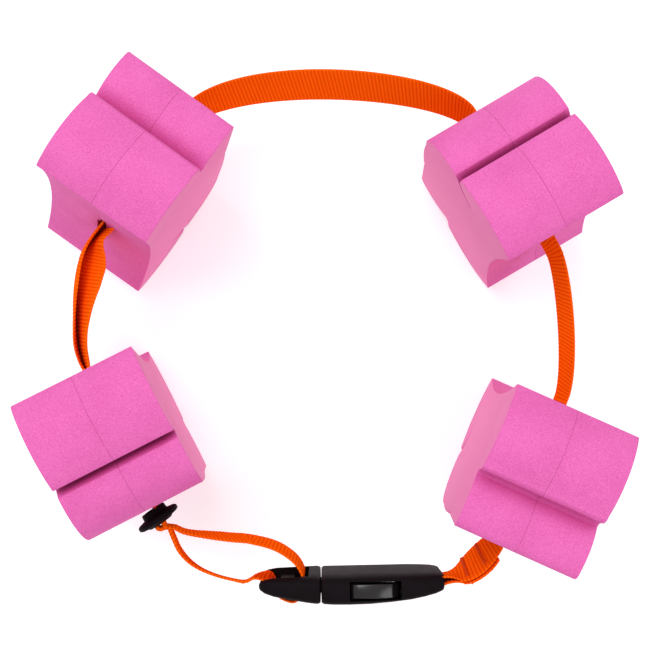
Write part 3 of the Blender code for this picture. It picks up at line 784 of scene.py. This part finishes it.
def adjuster_loop(material):
    """The webbing's free end, gathered at the keeper and full width at the plug."""
    places = adjuster_route()
    travel = [0.0]
    for before, after in zip(places, places[1:]):
        travel.append(travel[-1] + (after - before).length)
    matrix = buckle_matrix()
    keeper_up = station_in_float(4, KEEPER_FRONT).up
    buckle_up = matrix.to_3x3() @ Vector((0, 0, 1))
    stations = []
    for place, gone in zip(places, travel):
        left = travel[-1] - gone
        inward = -Vector((place.x, place.y, 0)).normalized()
        back = left / LOWER_BRANCH
        turned = max(0, min(1, LEAN_EASE_KEEPER * back, LEAN_EASE_PLUG * (1 - back)))
        free_up = buckle_up + inward * math.tan(LOWER_LEAN) * turned
        ease = smooth_step((min(gone, left) - SPREAD_FROM) / SPREAD_OVER)
        stations.append(Station(place, keeper_up.lerp(free_up, ease),
                                BUNCH_WIDTH + (WEB_WIDTH - BUNCH_WIDTH) * ease,
                                BUNCH_THICK + (WEB_THICK - BUNCH_THICK) * ease,
                                gather=1 - ease))
    obj = strap("strap_adjuster_loop", stations, material)
    station_in_float(4, KEEPER_FRONT).place
    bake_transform(obj)
    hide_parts("webbing_adjuster_loop")


# ---- moulded pieces -----------------------------------------------------
def thin_keeper(mesh):
    """Shorten the keeper's outer hub, and turn the disc a little on the webbing."""
    home = float_matrix(4) @ Matrix.Translation((KEEPER_BACK, 0, WEB_LINE))
    mesh.transform(home.inverted())
    for vert in mesh.vertices:
        past = -vert.co.x - KEEPER_HUB_FROM
        if past > 0:
            vert.co.x = -KEEPER_HUB_FROM - KEEPER_HUB_KEPT * past
    middle = Matrix.Translation((-KEEPER_LENGTH / 2, 0, 0))
    mesh.transform(home @ middle @ Matrix.Rotation(KEEPER_TURN, 4, "Z") @ middle.inverted())


def moulded(node, name, body, material, radius, reshape=None):
    """A CAD node's shape with its edges rounded."""
    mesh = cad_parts[node].data.copy()
    if reshape:
        reshape(mesh)
    mesh.materials.clear()
    mesh.materials.append(material)
    obj = add_object(name, mesh)
    bm = bmesh.new()
    bm.from_mesh(mesh)
    bmesh.ops.remove_doubles(bm, verts=bm.verts, dist=2e-6)
    bmesh.ops.dissolve_limit(bm, angle_limit=math.radians(1.5), verts=bm.verts, edges=bm.edges)
    bm.to_mesh(mesh)
    bm.free()
    bevel = obj.modifiers.new("round", "BEVEL")
    bevel.width, bevel.segments = radius, 3
    bevel.limit_method, bevel.angle_limit = "ANGLE", math.radians(32)
    bake(obj)
    obj.data.shade_smooth()
    obj.data.set_sharp_from_angle(angle=math.radians(40))
    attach(obj, body)
    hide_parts(node)


def sewn_tack(node, material):
    """Zigzag of thread over the area of one bar tack."""
    corners = np.array([v.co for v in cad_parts[node].data.vertices])
    middle = corners.mean(axis=0)
    _, _, axes = np.linalg.svd(corners - middle)
    spread = (corners - middle) @ axes.T
    reach = (spread.max(axis=0) - spread.min(axis=0)) / 2
    line = bpy.data.curves.new(node.replace("lap_tack", "thread"), "CURVE")
    line.dimensions, line.bevel_depth, line.bevel_resolution = "3D", THREAD_RADIUS, 2
    spline = line.splines.new("POLY")
    turns = round(2 * reach[0] / THREAD_PITCH)
    spline.points.add(turns)
    for k in range(turns + 1):
        along = -reach[0] + 2 * reach[0] * k / turns
        side = reach[1] * 0.8 * (1 if k % 2 else -1)
        spline.points[k].co = (*(middle + axes[0] * along + axes[1] * side), 1)
    drawn = add_object(line.name, line)
    bpy.context.view_layer.update()
    mesh = bpy.data.meshes.new_from_object(
        drawn.evaluated_get(bpy.context.evaluated_depsgraph_get()))
    bpy.data.objects.remove(drawn)
    mesh.materials.append(material)
    mesh.shade_smooth()
    obj = add_object(node.replace("lap_tack", "thread") + "_zigzag", mesh)
    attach(obj, "belt")
    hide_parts(node)


# ---- build --------------------------------------------------------------
def build_foam():
    cut = foam_material("foam_cut", FOAM_CUT, FOAM_CUT_DARK, 0.78, 3.2, 0.8)
    skin = foam_material("foam_skin", FOAM_SKIN, FOAM_SKIN_DARK, 0.6, 0.5, 0.2)
    for number in FLOATS:
        foam_slab(f"foam_{number}_outer_slab", number, SEAM_GAP, SLAB, (cut, skin))
        foam_slab(f"foam_{number}_inner_slab", number, -SEAM_GAP, -SLAB, (cut, skin))


def build_webbing():
    material = webbing_material()
    main_webbing(material)
    adjuster_loop(material)


def build_moulded():
    shell = plastic_material("plastic_shell", 0.56, 0.03)
    arm = plastic_material("plastic_arm", 0.2, 0.5)
    moulded("buckle_socket", "socket_shell", "belt", shell, SHELL_ROUND)
    moulded("buckle_plug", "plug_shell", "plug", shell, SHELL_ROUND)
    moulded("release_arm_upper", "arm_upper_shell", "arm_upper", arm, ARM_ROUND)
    moulded("release_arm_lower", "arm_lower_shell", "arm_lower", arm, ARM_ROUND)
    moulded("keeper_disc", "keeper_shell", "keeper", shell, KEEPER_ROUND, thin_keeper)


def build_thread():
    thread = thread_material()
    for tack in ("lap_tack_1_outer", "lap_tack_1_inner", "lap_tack_2_outer", "lap_tack_2_inner"):
        sewn_tack(tack, thread)


def build_stage():
    """Pale paper floor, even sky and two soft lamps."""
    paper = Shader("paper", 0.9, 0.1)
    paper.surface.inputs["Base Color"].default_value = PAPER
    paper.surface.inputs["Emission Color"].default_value = WHITE
    paper.surface.inputs["Emission Strength"].default_value = PAPER_GLOW
    floor = add_object("paper_floor", box_mesh("paper_floor", (-3, -3, -0.02), (3, 3, 0)))
    floor.data.materials.append(paper.material)
    world = bpy.context.scene.world or bpy.data.worlds.new("studio")
    bpy.context.scene.world = world
    world.use_nodes = True
    background = world.node_tree.nodes["Background"]
    background.inputs["Color"].default_value = WHITE
    background.inputs["Strength"].default_value = SKY_STRENGTH
    for label, place, size, power in LAMPS:
        light = bpy.data.lights.new(label, "AREA")
        light.shape, light.size, light.energy = "DISK", size, power
        lamp = add_object(label, light)
        lamp.location = place
        lamp.rotation_euler = (-Vector(place)).to_track_quat("-Z", "Y").to_euler()


def set_tones():
    """Plain tone curve, so that the colours are the materials' own."""
    settings = bpy.context.scene.view_settings
    settings.view_transform = "Standard"
    settings.look = "None"


def build_camera():
    """Almost straight above the middle of the ring."""
    camera = bpy.data.cameras.new("camera")
    camera.sensor_width, camera.lens = 36, CAMERA_LENS
    obj = add_object("camera", camera)
    away = Vector((0, math.sin(CAMERA_TILT), math.cos(CAMERA_TILT)))
    obj.location = CAMERA_AIM + CAMERA_DISTANCE * away
    obj.rotation_euler = (-CAMERA_TILT, 0, 0)
    bpy.context.scene.camera = obj


build_foam()
build_webbing()
build_moulded()
build_thread()
build_stage()
set_tones()
build_camera()
